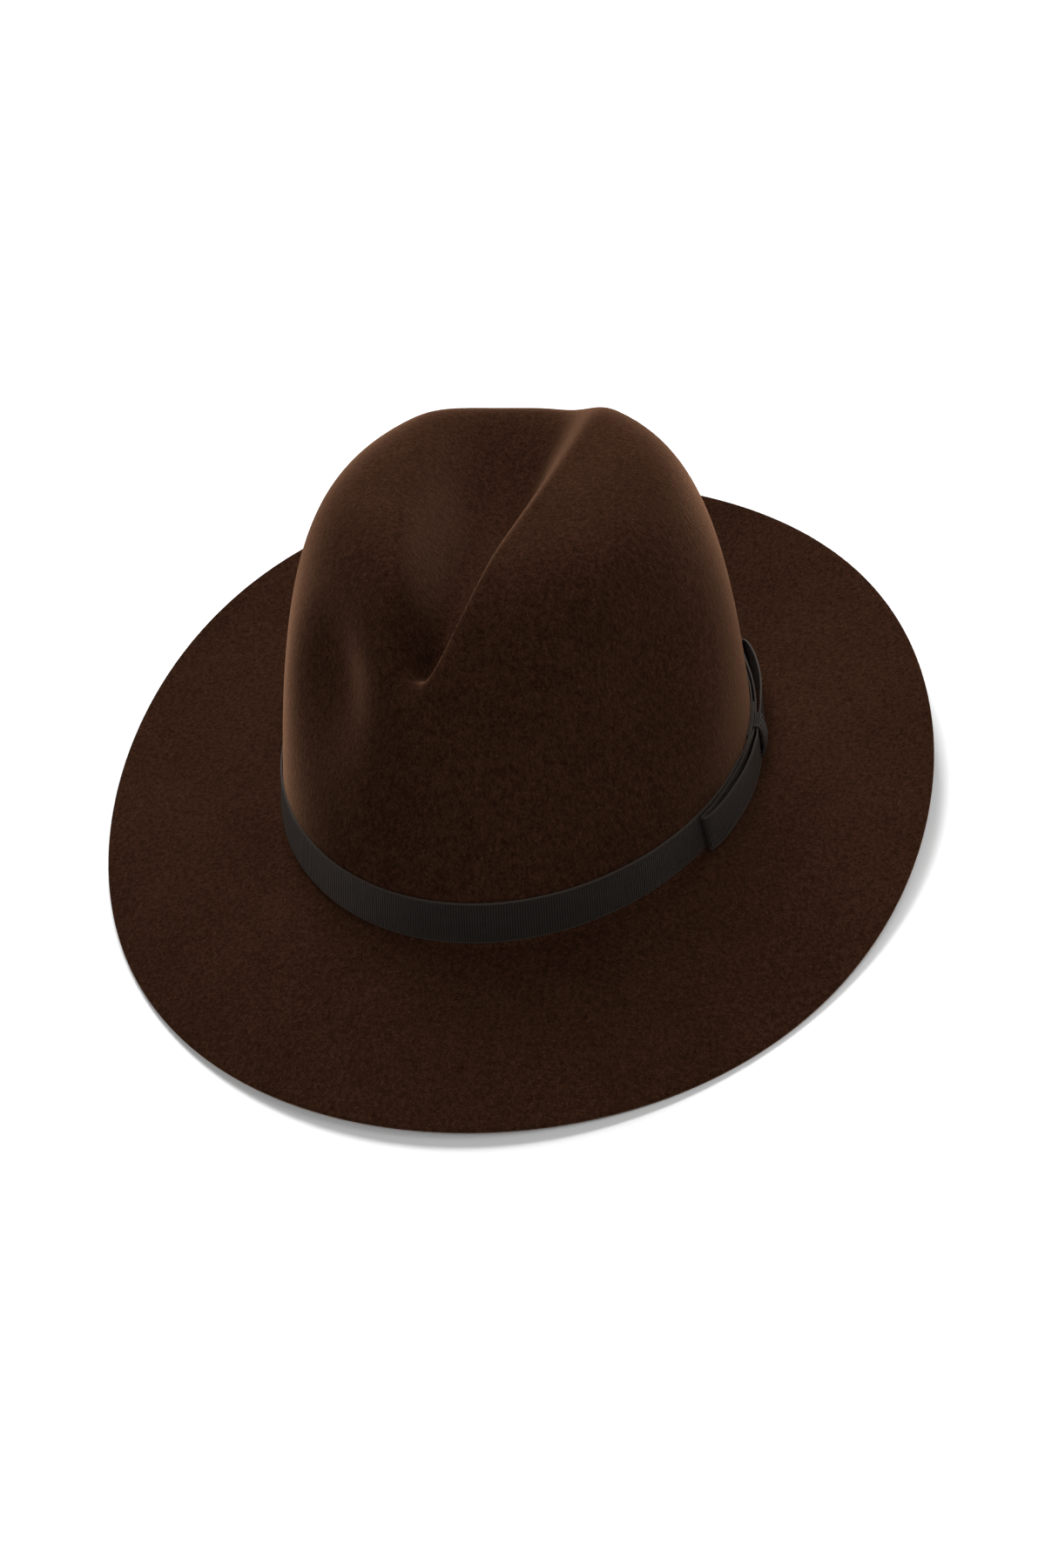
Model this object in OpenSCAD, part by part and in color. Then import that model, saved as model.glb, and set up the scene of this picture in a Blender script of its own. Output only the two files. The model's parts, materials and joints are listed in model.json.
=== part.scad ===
// Fur-felt fedora with a creased crown, a wide snap brim, a narrow ribbon with a flat side bow,
// a leather sweatband and a satin lining.
// The hat is worked out in the frame of the head: the front is -Y, the wearer's left is +X, and z = 0
// is the break line, where the crown meets the brim. place() then leans it as it stands on a table, on
// the front of its brim and the back of its break line. A "turn" is an angle round the crown, from the
// front towards the wearer's left.

/* [Head opening] */
// Length of the head opening, front to back, inside the leather
head_length = 201; // [185:1:245]
// Width of the head opening, inside the leather
head_width = 165; // [135:1:200]

/* [Crown] */
// Thickness of the felt
felt_thickness = 2.2; // [1.5:0.1:3]
// Height of the crown over the break line, before it is creased
crown_height = 123; // [100:1:148]
// How much narrower the crown's top is than its foot, as a share of the width
crown_side_taper = 0.09; // [0.02:0.01:0.15]
// How much shorter the crown's top is than its foot, as a share of the length
crown_end_taper = 0.17; // [0.05:0.01:0.22]
// How far the crown's top is set back from the middle of the head opening
crown_set_back = 11.5; // [0:0.5:18]
// Squareness of the crown from foot to shoulder: 2 is a plain dome, more keeps the walls straight
crown_squareness = 6.5; // [4:0.5:8]
// Squareness of the crown over its shoulder: 2 is a plain dome, more makes the top flatter
shoulder_squareness = 2.7; // [2.2:0.1:3.5]
// How far the ends of the break line dip and its sides rise
break_saddle = 1.5; // [0:0.1:3]

/* [Top crease] */
// Depth of the crease in the top of the crown
crease_depth = 30; // [16:1:36]
// Distance of the crease's front point from the front of the crown's foot
crease_front_inset = 21; // [14:1:32]
// Distance over which the crease falls from its front point to full depth
crease_front_run = 30; // [24:1:46]
// Distance past the back of the crown's foot at which the crease has run out
crease_back_reach = 13; // [0:1:24]
// Sideways place of the crease's floor at the front
crease_front_shift = -5.5; // [-10:0.5:2]
// Sideways place of the crease's floor at the back
crease_back_shift = 2.5; // [-2:0.5:8]
// How far the crease's front end bends towards the wearer's right
crease_hook = 11; // [0:0.5:14]
// Length over which the crease's front end bends
crease_hook_run = 40; // [30:1:60]
// Width of the wearer's left wall of the crease at the front
left_wall_front = 4; // [3.5:0.5:10]
// Width of the wearer's left wall of the crease at the back
left_wall_back = 35; // [28:1:48]
// Width of the wearer's right wall of the crease at the front
right_wall_front = 12; // [10:1:26]
// Width of the wearer's right wall of the crease at the back
right_wall_back = 58; // [44:1:70]

/* [Side pinches] */
// Turn of the wearer's left pinch from the front
left_pinch_turn = 56; // [40:1:65]
// Depth of the wearer's left pinch
left_pinch_depth = 8; // [2:0.5:12]
// Spread of the wearer's left pinch round the crown, in degrees
left_pinch_spread = 26; // [18:1:32]
// Turn of the wearer's right pinch from the front
right_pinch_turn = -39; // [-60:1:-34]
// Depth of the wearer's right pinch
right_pinch_depth = 9; // [2:0.5:12]
// Spread of the wearer's right pinch round the crown, in degrees
right_pinch_spread = 15; // [12:1:26]
// Height of both pinches over the break line
pinch_height = 75; // [60:1:85]
// Spread of both pinches up and down
pinch_rise = 25; // [18:1:32]

/* [Brim] */
// Mean width of the brim
brim_width = 65.5; // [45:0.5:85]
// How much wider the brim is than its mean at the front, and narrower at the back
brim_front_extra = 4; // [-2:0.5:8]
// How much wider the brim is at its sides than at its ends, halved
brim_side_extra = 2; // [-1:0.5:4]
// Angle between the break line and the brim's edge: the brim is down in front and up behind
brim_pitch = 9.5; // [4:0.5:13]
// How far the whole edge lies under the break line
brim_dip = 3.5; // [0:0.5:8]
// Height of the three soft waves round the brim's edge
brim_wave = 3.7; // [1:0.1:5]
// Reach of the small rounding where the crown turns into the brim
break_reach = 2.2; // [1.6:0.1:3]

/* [Ribbon] */
// Width of the grosgrain ribbon
ribbon_width = 15; // [12:0.5:26]
// Thickness of the ribbon
ribbon_thickness = 0.6; // [0.4:0.1:0.8]
// Height of the ribbon's lower edge over the break line
ribbon_foot = 1.2; // [1:0.1:3]
// Length of the ribbon's lap, which is hidden under the bow
ribbon_lap = 22; // [12:1:30]

/* [Bow] */
// Turn of the bow's knot from the front
knot_turn = 99; // [80:1:110]
// Length of the bow's front loop
front_loop_length = 62; // [36:1:75]
// Length of the bow's rear loop
rear_loop_length = 53; // [36:1:75]
// How far the front loop stands open
front_loop_puff = 1.6; // [0.5:0.1:4]
// How far the rear loop stands open
rear_loop_puff = 2.8; // [0.5:0.1:4]
// Width of the knot along the ribbon
knot_width = 9; // [6:0.5:14]

/* [Sweatband] */
// Width of the leather sweatband
sweatband_width = 46; // [34:1:58]
// Thickness of the leather
leather_thickness = 1.2; // [0.8:0.1:1.6]
// Height of the leather's lower edge over the break line
sweatband_foot = 2.4; // [2.2:0.1:4]
// Gap between the leather's two ends at the back
sweatband_gap = 0.8; // [0.4:0.1:2]
// Radius of the reed that stiffens the leather's lower edge
reed_radius = 0.8; // [0.5:0.1:0.9]
// Width of the tape that holds the reed
reed_tape_width = 9; // [6:0.5:14]
// Length of one stitch along the sweatband
stitch_length = 2.6; // [1.5:0.1:4]
// Radius of the sewing thread
thread_radius = 0.22; // [0.15:0.01:0.3]

/* [Lining] */
// Thickness of the lining cloth
lining_thickness = 0.4; // [0.3:0.05:0.6]
// Clear space that the lining, the seam tape and the ticket need between felt and leather
lining_room = 1.1; // [1:0.1:1.6]
// Height of the lining's lower edge over the break line
lining_foot = 25; // [14:1:30]
// Radius of the piping cord that covers the lining's seam
piping_radius = 0.8; // [0.6:0.1:1.2]

/* [Hidden] */

// The turns at which the felt and every shell inside it are cut into columns, so that nested shells
// stay parallel. They are closer together in front, where the crease runs out.
front_turn_step = 3;
front_turn_limit = 36;
back_turn_step = 6;
all_turns = [
    for (turn = [0:front_turn_step:front_turn_limit]) turn,
    for (turn = [front_turn_limit + back_turn_step:back_turn_step:360 - front_turn_limit - 1]) turn,
    for (turn = [360 - front_turn_limit:front_turn_step:359]) turn];
// Spacing of the ribbon's columns and of the stitches
turn_step = 5;
// Clearances between pieces that lie on each other, between slips of tape or card, and under threads
fit_gap = 0.25;
slip_gap = 0.08;
thread_gap = 0.2;
half_length = head_length / 2 + leather_thickness + lining_room + felt_thickness;
half_width = head_width / 2 + leather_thickness + lining_room + felt_thickness;

// Depths under the felt's outer face at which the inner pieces start
lining_depth = felt_thickness + fit_gap;
slip_depth = lining_depth + lining_thickness + slip_gap;
slip_thickness = 0.2;
leather_depth = felt_thickness + lining_room;
leather_back = leather_depth + leather_thickness;

// The crown's rings run up the wall to the shoulder and then in across the top
shoulder = 0.8;
crown_end = 0.985;
felt_rows = [-1, -0.97, -0.85, -0.7, -0.52, -0.34, -0.18, -0.07, -0.02, -0.005, 0.008, 0.025,
    0.08, 0.16, 0.25, 0.34, 0.43, 0.52, 0.6, 0.67, 0.73, 0.77,
    for (i = [0:15]) shoulder + (crown_end - shoulder) * i / 15];
brim_sweep = 1.1;

crease_front = crease_front_inset - half_length;
crease_back = half_length + crease_back_reach;
crease_back_run = 120;
left_wall_growth = 0.55;
right_wall_growth = 0.8;

sweatband_top = sweatband_foot + sweatband_width;
ribbon_top = ribbon_foot + ribbon_width;
// The lining's side meets its tip on the shoulder
seam_row = 0.85;
// The lining hangs in a wider and softer crease than the felt's
lining_ease = 18;

// Soft step from 0 to 1 with flat ends
function soft_step(x) = let (c = min(max(x, 0), 1)) c * c * c * (c * (6 * c - 15) + 10);
function mix(a, b, share) = a + (b - a) * share;
function unit(v) = v / norm(v);

// Ring size and relative height of the crown at a row from 0, its foot, to 1, the middle of its top
foot_to_shoulder = pow(1 - pow(shoulder, shoulder_squareness), 1 / crown_squareness);
function ring_size(row) = row < shoulder
    ? pow(1 - pow(max(row, 0), shoulder_squareness), 1 / crown_squareness)
    : foot_to_shoulder * (1 - row) / (1 - shoulder);
function ring_height(row) = row < shoulder
    ? max(row, 0)
    : pow(1 - pow(ring_size(row), crown_squareness), 1 / shoulder_squareness);

// The crown as it is blocked, before any crease is put in
function blocked_crown(turn, row) = let (k = ring_size(row), u = ring_height(row)) [
    half_width * (1 - crown_side_taper * u) * k * sin(turn),
    crown_set_back * u - half_length * (1 - crown_end_taper * u) * k * cos(turn),
    crown_height * u - break_saddle * cos(2 * turn) * (1 - u)];

// A pinch pushes the wall in round one point, towards the axis of the crown
function turn_between(a, b) = (a - b + 540) % 360 - 180;
function pinch(turn, height, at, depth, spread) =
    depth * exp(-pow(turn_between(turn, at) / spread, 2) - pow((height - pinch_height) / pinch_rise, 2))
    * soft_step(height / pinch_rise) * [-sin(at), cos(at), 0];

// Drop of the top at one place of the plan; ease widens the crease for the lining
function crease(x, y, ease) =
    let (along = min(max((y - crease_front) / (crease_back - crease_front), 0), 1),
        bend = max(1 - max(y - crease_front, 0) / crease_hook_run, 0),
        floor_x = mix(crease_front_shift, crease_back_shift, along) - crease_hook * bend * bend,
        left_wall = mix(left_wall_front, left_wall_back, pow(along, left_wall_growth)) + ease,
        right_wall = mix(right_wall_front, right_wall_back, pow(along, right_wall_growth)) + ease,
        across = x > floor_x ? (x - floor_x) / left_wall : (floor_x - x) / right_wall)
    crease_depth * soft_step((y - crease_front + ease) / crease_front_run)
    * soft_step((crease_back - y) / crease_back_run) * soft_step(1 - across);

crease_start = 0.5;
crease_full = 0.9;
function crown(turn, row, ease = 0) =
    let (b = blocked_crown(turn, row),
        p = b + pinch(turn, b[2], left_pinch_turn, left_pinch_depth, left_pinch_spread)
            + pinch(turn, b[2], right_pinch_turn, right_pinch_depth, right_pinch_spread),
        top = soft_step((ring_height(row) - crease_start) / (crease_full - crease_start)))
    p - [0, 0, top * crease(p[0], p[1], ease)];

// The brim runs outwards from the crown's foot, at right angles to the head oval
function oval_out(turn) = unit([half_length * sin(turn), -half_width * cos(turn), 0]);
function brim_reach(turn) = brim_width + brim_front_extra * cos(turn) - brim_side_extra * cos(2 * turn);
function edge_height(turn, y) = y * tan(brim_pitch) - brim_dip + brim_wave * cos(3 * turn);
function brim(turn, share) =
    let (foot = crown(turn, 0),
        edge = foot + oval_out(turn) * brim_reach(turn),
        flat = mix(foot, edge, share))
    [flat[0], flat[1], mix(foot[2], edge_height(turn, edge[1]), pow(share, brim_sweep))];

// The felt's outer face: rows above 0 climb the crown, rows below 0 run out along the brim
crown_break = break_reach / crown_height;
brim_break = break_reach / brim_width;
function bend(a, b, c, s) = mix(mix(a, b, s), mix(b, c, s), s);
function felt(turn, row, ease = 0) =
    row >= crown_break ? crown(turn, row, ease)
    : row <= -brim_break ? brim(turn, -row)
    : bend(crown(turn, crown_break), crown(turn, 0), brim(turn, brim_break),
        (crown_break - row) / (crown_break + brim_break));

// Outward direction of the felt, taken over a stretch as wide as the felt is stiff
look_turn = 3;
look_row = 0.012;
function felt_out(turn, row, ease = 0) = unit(cross(
    felt(turn + look_turn, row, ease) - felt(turn - look_turn, row, ease),
    felt(turn, min(row + look_row, 0.995), ease) - felt(turn, row - look_row, ease)));

// A point at a depth under the felt's outer face, and one on the straight wall at a height in mm
function under_felt(turn, row, depth, ease = 0) =
    felt(turn, row, ease) - depth * felt_out(turn, row, ease);
function on_wall(turn, height, depth) =
    let (row = max(height, 0.1) / crown_height,
        out = unit(cross(crown(turn + look_turn, row) - crown(turn - look_turn, row),
            crown(turn, row + look_row) - crown(turn, row))))
    crown(turn, row) - depth * out;

// The hat stands on the lowest line under its middle: from the brim's front edge to the back of the
// break line. Each point here is [distance to the back, height].
function under_brim(turn, row) = let (p = under_felt(turn, row, felt_thickness)) [p[1], p[2]];
front_points = [for (turn = [0:turn_step:85]) under_brim(turn, -1)];
back_points = [for (row = [-0.02, -0.07, -0.12, -0.18, -0.34, -1], turn = [95:turn_step:180])
    under_brim(turn, row)];
stand_lines = [for (a = front_points, b = back_points)
    let (slope = (b[1] - a[1]) / (b[0] - a[0])) [a[1] - slope * a[0], slope]];
lowest_line = min([for (l = stand_lines) l[0]]);
stand_lean = atan([for (l = stand_lines) if (l[0] == lowest_line) l[1]][0]);
stand_height = -lowest_line * cos(stand_lean);

// The middle of the hat's length, as it stands, is the origin
function stand_y(p) = p[1] * cos(stand_lean) + p[2] * sin(stand_lean);
edge_y = [for (turn = [0, 180])
    each [stand_y(brim(turn, 1)), stand_y(under_felt(turn, -1, felt_thickness))]];
centre_y = -(min(edge_y) + max(edge_y)) / 2;

module place() {
    translate([0, centre_y, stand_height]) rotate([-stand_lean, 0, 0]) children();
}

// A thick sheet between two grids of points. Its columns may close round the crown, and its last row
// may be closed with a small cap.
module thick_sheet(outer, inner, closed = true, capped = false) {
    rows = len(outer);
    columns = len(outer[0]);
    steps = closed ? columns : columns - 1;
    layer = rows * columns;
    function at(side, r, c) = side * layer + r * columns + c % columns;
    function quad(a, b, c, d) = [[a, b, c], [a, c, d]];
    outside = [for (r = [0:rows - 2], c = [0:steps - 1])
        each quad(at(0, r, c), at(0, r + 1, c), at(0, r + 1, c + 1), at(0, r, c + 1))];
    inside = [for (r = [0:rows - 2], c = [0:steps - 1])
        each quad(at(1, r, c), at(1, r, c + 1), at(1, r + 1, c + 1), at(1, r + 1, c))];
    first_edge = [for (c = [0:steps - 1])
        each quad(at(0, 0, c), at(0, 0, c + 1), at(1, 0, c + 1), at(1, 0, c))];
    last_edge = [for (c = [0:steps - 1])
        each quad(at(0, rows - 1, c + 1), at(0, rows - 1, c), at(1, rows - 1, c), at(1, rows - 1, c + 1))];
    caps = [for (c = [1:columns - 2])
        each [[at(0, rows - 1, 0), at(0, rows - 1, c + 1), at(0, rows - 1, c)],
            [at(1, rows - 1, 0), at(1, rows - 1, c), at(1, rows - 1, c + 1)]]];
    ends = [for (r = [0:rows - 2])
        each concat(quad(at(0, r + 1, 0), at(0, r, 0), at(1, r, 0), at(1, r + 1, 0)),
            quad(at(0, r, columns - 1), at(0, r + 1, columns - 1),
                at(1, r + 1, columns - 1), at(1, r, columns - 1)))];
    polyhedron(
        points = concat([for (row = outer) each row], [for (row = inner) each row]),
        faces = concat(outside, inside, first_edge, capped ? caps : last_edge, closed ? [] : ends));
}

// A patch or a ring of the wall between two heights and two depths
module wall_sheet(turns, heights, depth, thickness, closed = true) {
    thick_sheet(
        [for (h = heights) [for (turn = turns) on_wall(turn, h, depth)]],
        [for (h = heights) [for (turn = turns) on_wall(turn, h, depth + thickness)]],
        closed);
}

// A round cord that runs once round the hat through a list of centres
module cord_ring(centres, radius) {
    sides = 6;
    count = len(centres);
    points = [for (i = [0:count - 1], s = [0:sides - 1])
        let (out = oval_out(all_turns[i]))
        centres[i] + radius * (cos(s * 360 / sides) * out + sin(s * 360 / sides) * [0, 0, 1])];
    function at(i, s) = (i % count) * sides + s % sides;
    polyhedron(points = points, faces = [for (i = [0:count - 1], s = [0:sides - 1])
        each [[at(i, s), at(i, s + 1), at(i + 1, s + 1)], [at(i, s), at(i + 1, s + 1), at(i + 1, s)]]]);
}

// A short straight thread that lies on the wall; tilt 0 runs round the hat and 90 runs up it
module thread(turn, height, depth, length, tilt = 0) {
    here = on_wall(turn, height, depth);
    ahead = on_wall(turn + 1, height, depth);
    heading = atan2(ahead[1] - here[1], ahead[0] - here[0]);
    translate(here) rotate([0, 0, heading]) rotate([0, 90 - tilt, 0])
        cylinder(h = length, r = thread_radius, center = true, $fn = 16);
}

// --- Felt ---

module felt_body() {
    color("#2b1710") place() thick_sheet(
        [for (row = felt_rows) [for (turn = all_turns) felt(turn, row)]],
        [for (row = felt_rows) [for (turn = all_turns) under_felt(turn, row, felt_thickness)]],
        capped = true);
}

// --- Ribbon and bow ---

// Distance along the wall beside the knot, as a turn
function turn_beside(at_turn, distance) = at_turn + distance * 180 / (PI * half_length);

ribbon_gap = fit_gap;
band_cover = ribbon_gap + 2 * ribbon_thickness + fit_gap;
lap_turn = ribbon_lap * 180 / (PI * half_length);
ribbon_heights = [for (i = [0:3]) ribbon_foot + ribbon_width * i / 3];
band_turns = [knot_turn - lap_turn / 2, for (i = [1:71]) knot_turn - lap_turn / 2 + i * turn_step,
    for (i = [0:4]) knot_turn + 360 - lap_turn / 2 + lap_turn * i / 4];
// The outer end of the ribbon climbs over the inner end
function band_lift(turn) = (ribbon_thickness + fit_gap / 2)
    * soft_step((turn - (knot_turn + 360 - lap_turn / 2) + 2 * turn_step) / (1.5 * turn_step));

module ribbon_band() {
    function depth(turn, side) = -ribbon_gap - band_lift(turn) - side * ribbon_thickness;
    color("#262120") place() thick_sheet(
        [for (h = ribbon_heights) [for (turn = band_turns) on_wall(turn, h, depth(turn, 1))]],
        [for (h = ribbon_heights) [for (turn = band_turns) on_wall(turn, h, depth(turn, 0))]],
        closed = false);
}

tack_turns = [57.5, 150, 205, 255];
tack_height = 4;
tack_length = 1.4;
tack_tilt = 70;

module band_tacks() {
    color("#171312") place() for (turn = tack_turns)
        thread(turn, tack_height, -ribbon_gap - ribbon_thickness - thread_radius - thread_gap,
            tack_length, tack_tilt);
}

// A bow loop leaves the knot along the band, folds back on itself and returns above its first layer. It
// lies flat where the knot holds it. Its path has points [distance from the knot's middle, distance from
// the felt].
loop_steps = 8;
fold_steps = 4;
layer_gap = 0.3;
loop_end = 1;
function loop_path(length, held, base, puff) =
    let (lower = base + ribbon_thickness / 2,
        radius = (ribbon_thickness + layer_gap) / 2,
        tip = length - radius - ribbon_thickness / 2)
    [for (i = [0:loop_steps - 1]) [mix(loop_end, tip, i / loop_steps), lower],
        for (i = [0:fold_steps]) let (a = i * 180 / fold_steps - 90)
            [tip + radius * cos(a), lower + radius + radius * sin(a)],
        for (i = [1:loop_steps]) let (s = i / loop_steps)
            [mix(tip, held, s), lower + 2 * radius + puff * pow(sin(180 * pow(s, 0.8)), 0.7)],
        [loop_end, lower + 2 * radius]];
function path_side(path, i) =
    let (before = path[max(i - 1, 0)], after = path[min(i + 1, len(path) - 1)],
        along = unit([after[0] - before[0], after[1] - before[1]]))
    [-along[1], along[0]];

// The loop's ribbon is gathered where the knot holds it
gather = 1.3;
gather_run = 12;
module bow_loop(at_turn, way, length, held, width, foot, base, puff, outwards = 1) {
    path = loop_path(length, held, base, puff);
    function face_point(i, s, side) =
        let (p = path[i] + side * ribbon_thickness / 2 * path_side(path, i),
            squeeze = gather * width / ribbon_width * (1 - soft_step((p[0] - held) / gather_run)))
        on_wall(turn_beside(at_turn, way * p[0]), foot + squeeze + (width - 2 * squeeze) * s,
            -outwards * p[1]);
    shares = [0, 1 / 3, 2 / 3, 1];
    facing = way * outwards;
    thick_sheet(
        [for (s = shares) [for (i = [0:len(path) - 1]) face_point(i, s, facing)]],
        [for (s = shares) [for (i = [0:len(path) - 1]) face_point(i, s, -facing)]],
        closed = false);
}

module bow_front_loop() {
    color("#2a2423") place() bow_loop(knot_turn, -1, front_loop_length, knot_width / 2, ribbon_width,
        ribbon_foot, band_cover, front_loop_puff);
}

module bow_rear_loop() {
    color("#2a2423") place() bow_loop(knot_turn, 1, rear_loop_length, knot_width / 2, ribbon_width,
        ribbon_foot, band_cover, rear_loop_puff);
}

// The knot is a strip that wraps over both loops and turns in at their edges
knot_swell = 1;
module knot_wrap(at_turn, width, loop_width, foot, base, outwards = 1) {
    squeeze = gather * loop_width / ribbon_width;
    low = foot + squeeze - fit_gap;
    high = foot + loop_width - squeeze + fit_gap;
    rise = base + 2 * ribbon_thickness + layer_gap + fit_gap;
    inner = [[low, base], [low, rise], [mix(low, high, 0.25), rise + 0.7 * knot_swell],
        [mix(low, high, 0.5), rise + knot_swell], [mix(low, high, 0.75), rise + 0.7 * knot_swell],
        [high, rise], [high, base]];
    t = ribbon_thickness;
    step = [[-t, 0], [-t, t], [-0.2 * t, t], [0, t], [0.2 * t, t], [t, t], [t, 0]];
    places = [for (i = [-2:2]) i * width / 4];
    function ring(grow, d) = [for (i = [0:len(inner) - 1]) let (p = inner[i] + grow * step[i])
        on_wall(turn_beside(at_turn, d), p[0], -outwards * p[1])];
    if (outwards > 0) {
        thick_sheet([for (d = places) ring(0, d)], [for (d = places) ring(1, d)], closed = false);
    } else {
        thick_sheet([for (d = places) ring(1, d)], [for (d = places) ring(0, d)], closed = false);
    }
}

module bow_knot() {
    color("#241f1e") place()
        knot_wrap(knot_turn, knot_width, ribbon_width, ribbon_foot, band_cover);
}

bow_stitch_inset = 2.2;
bow_stitch_length = 1.3;
module bow_stitches() {
    fold_cover = band_cover + 2 * ribbon_thickness + layer_gap;
    color("#171312") place() for (h = [ribbon_foot + bow_stitch_inset, ribbon_top - bow_stitch_inset])
        thread(turn_beside(knot_turn, bow_stitch_inset - front_loop_length), h,
            -fold_cover - front_loop_puff - thread_radius, bow_stitch_length);
}

// --- Sweatband ---

sweatband_turns = [180 + turn_beside(0, sweatband_gap / 2),
    for (turn = all_turns) if (turn > 180) turn,
    for (turn = all_turns) if (turn < 180) turn + 360,
    540 - turn_beside(0, sweatband_gap / 2)];

module sweatband() {
    heights = [for (i = [0:5]) sweatband_foot + sweatband_width * i / 5];
    color("#5a3a24") place()
        wall_sheet(sweatband_turns, heights, leather_depth, leather_thickness, closed = false);
}

module sweatband_reed() {
    centre = leather_depth + leather_thickness / 2;
    height = sweatband_foot - reed_radius - fit_gap;
    color("#b9a98c") place() cord_ring([for (turn = all_turns) on_wall(turn, height, centre)],
        reed_radius);
}

reed_tape_rise = 0.4;
module reed_tape() {
    heights = [for (i = [0:2]) sweatband_foot + reed_tape_rise + reed_tape_width * i / 2];
    color("#3a2a1e") place()
        wall_sheet(all_turns, heights, leather_depth - thread_gap - slip_thickness, slip_thickness);
}

stitch_height = 3.6;
module sweatband_stitches() {
    color("#2a1a12") place() for (turn = [turn_step / 2:turn_step:360])
        thread(turn, sweatband_foot + stitch_height, leather_back + thread_radius + thread_gap, stitch_length);
}

seam_tape_turns = [for (turn = all_turns) if (abs(turn - 180) <= back_turn_step) turn];
module sweatband_seam_tape() {
    heights = [for (i = [0:4]) mix(sweatband_foot + reed_tape_width + 1, sweatband_top - 1, i / 4)];
    color("#3a2a1e") place()
        wall_sheet(seam_tape_turns, heights, slip_depth, slip_thickness, closed = false);
}

back_bow_width = 8;
back_bow_length = 15;
back_bow_foot = 8.5;
back_bow_cover = leather_back + fit_gap;
back_bow_puff = 1;
back_knot_width = 5;

module sweatband_bow_loops() {
    color("#262120") place() for (way = [-1, 1])
        bow_loop(180, way, back_bow_length, back_knot_width / 2, back_bow_width, back_bow_foot,
            back_bow_cover, back_bow_puff, -1);
}

module sweatband_bow_knot() {
    color("#262120") place()
        knot_wrap(180, back_knot_width, back_bow_width, back_bow_foot, back_bow_cover, -1);
}

// --- Lining ---

seam_gap_row = 0.009;
lining_rows = [for (i = [0:8]) mix(lining_foot / crown_height, seam_row, i / 8)];
tip_rows = [for (i = [0:11]) mix(seam_row + seam_gap_row, crown_end, i / 11)];
// The lining lies close behind the leather and the ticket, and hangs clear of the felt higher up
ticket_rise = 6;
lining_hang_rise = 12;
lining_hang = 3.2;
lining_hang_run = 30;
function lining_at(turn, row, extra) =
    let (high = soft_step((row * crown_height - sweatband_top - lining_hang_rise) / lining_hang_run))
    under_felt(turn, row, lining_depth + extra + lining_hang * high, lining_ease * high);

module lining_side() {
    color("#4a3426") place() thick_sheet(
        [for (row = lining_rows) [for (turn = all_turns) lining_at(turn, row, 0)]],
        [for (row = lining_rows) [for (turn = all_turns) lining_at(turn, row, lining_thickness)]]);
}

module lining_tip() {
    color("#4a3426") place() thick_sheet(
        [for (row = tip_rows) [for (turn = all_turns) lining_at(turn, row, 0)]],
        [for (row = tip_rows) [for (turn = all_turns) lining_at(turn, row, lining_thickness)]],
        capped = true);
}

piping_gap = 1.3;
module lining_piping() {
    cover = lining_thickness + piping_radius + piping_gap;
    color("#8a6a44") place() cord_ring(
        [for (turn = all_turns) lining_at(turn, seam_row + seam_gap_row / 2, cover)], piping_radius);
}

ticket_turns = [for (turn = all_turns) if (turn > 140 && turn < 160) turn];
ticket_height = 22;
module size_ticket() {
    heights = [for (i = [0:3]) sweatband_top + ticket_rise - ticket_height * (1 - i / 3)];
    color("#d8cfb8") place()
        wall_sheet(ticket_turns, heights, slip_depth, slip_thickness, closed = false);
}

felt_body();
ribbon_band();
band_tacks();
bow_front_loop();
bow_rear_loop();
bow_knot();
bow_stitches();
sweatband();
sweatband_reed();
reed_tape();
sweatband_stitches();
sweatband_seam_tape();
sweatband_bow_loops();
sweatband_bow_knot();
lining_side();
lining_tip();
lining_piping();
size_ticket();
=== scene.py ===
import json
import math

import bpy
import numpy as np
from mathutils import Matrix, Vector


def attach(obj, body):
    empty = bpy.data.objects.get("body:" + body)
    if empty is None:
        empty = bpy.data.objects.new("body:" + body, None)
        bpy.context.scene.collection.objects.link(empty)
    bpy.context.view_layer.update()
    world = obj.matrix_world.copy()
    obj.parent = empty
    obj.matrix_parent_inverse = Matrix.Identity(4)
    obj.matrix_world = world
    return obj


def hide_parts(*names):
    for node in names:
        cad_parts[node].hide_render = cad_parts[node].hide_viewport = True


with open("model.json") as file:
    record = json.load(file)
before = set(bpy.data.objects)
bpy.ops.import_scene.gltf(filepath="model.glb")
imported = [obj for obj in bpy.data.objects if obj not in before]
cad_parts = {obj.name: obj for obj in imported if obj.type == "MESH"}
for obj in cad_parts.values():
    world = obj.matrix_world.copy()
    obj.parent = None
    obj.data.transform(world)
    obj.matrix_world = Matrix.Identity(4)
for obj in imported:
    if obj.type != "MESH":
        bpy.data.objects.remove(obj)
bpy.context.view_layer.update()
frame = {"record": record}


# --- Felt body -----------------------------------------------------------------------------------
# Crown and brim are one piece of fur felt, blocked over a wooden crown, creased by hand in the top,
# pinched at both sides and flanged down in front and up behind. The brim is left with a raw edge.

head = next(m for m in frame["record"]["mounts"] if m["name"] == "head_opening")
FELT, LEATHER, LINING_ROOM = 2.2, 1.2, 1.1
INNER = FELT + LEATHER + LINING_ROOM
HEAD_LENGTH, HEAD_WIDTH = 201.0, 165.0
HALF_LENGTH = HEAD_LENGTH / 2 + INNER
HALF_WIDTH = HEAD_WIDTH / 2 + INNER
STAND_LEAN = math.atan2(-head["axis"][1], -head["axis"][2])

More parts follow.
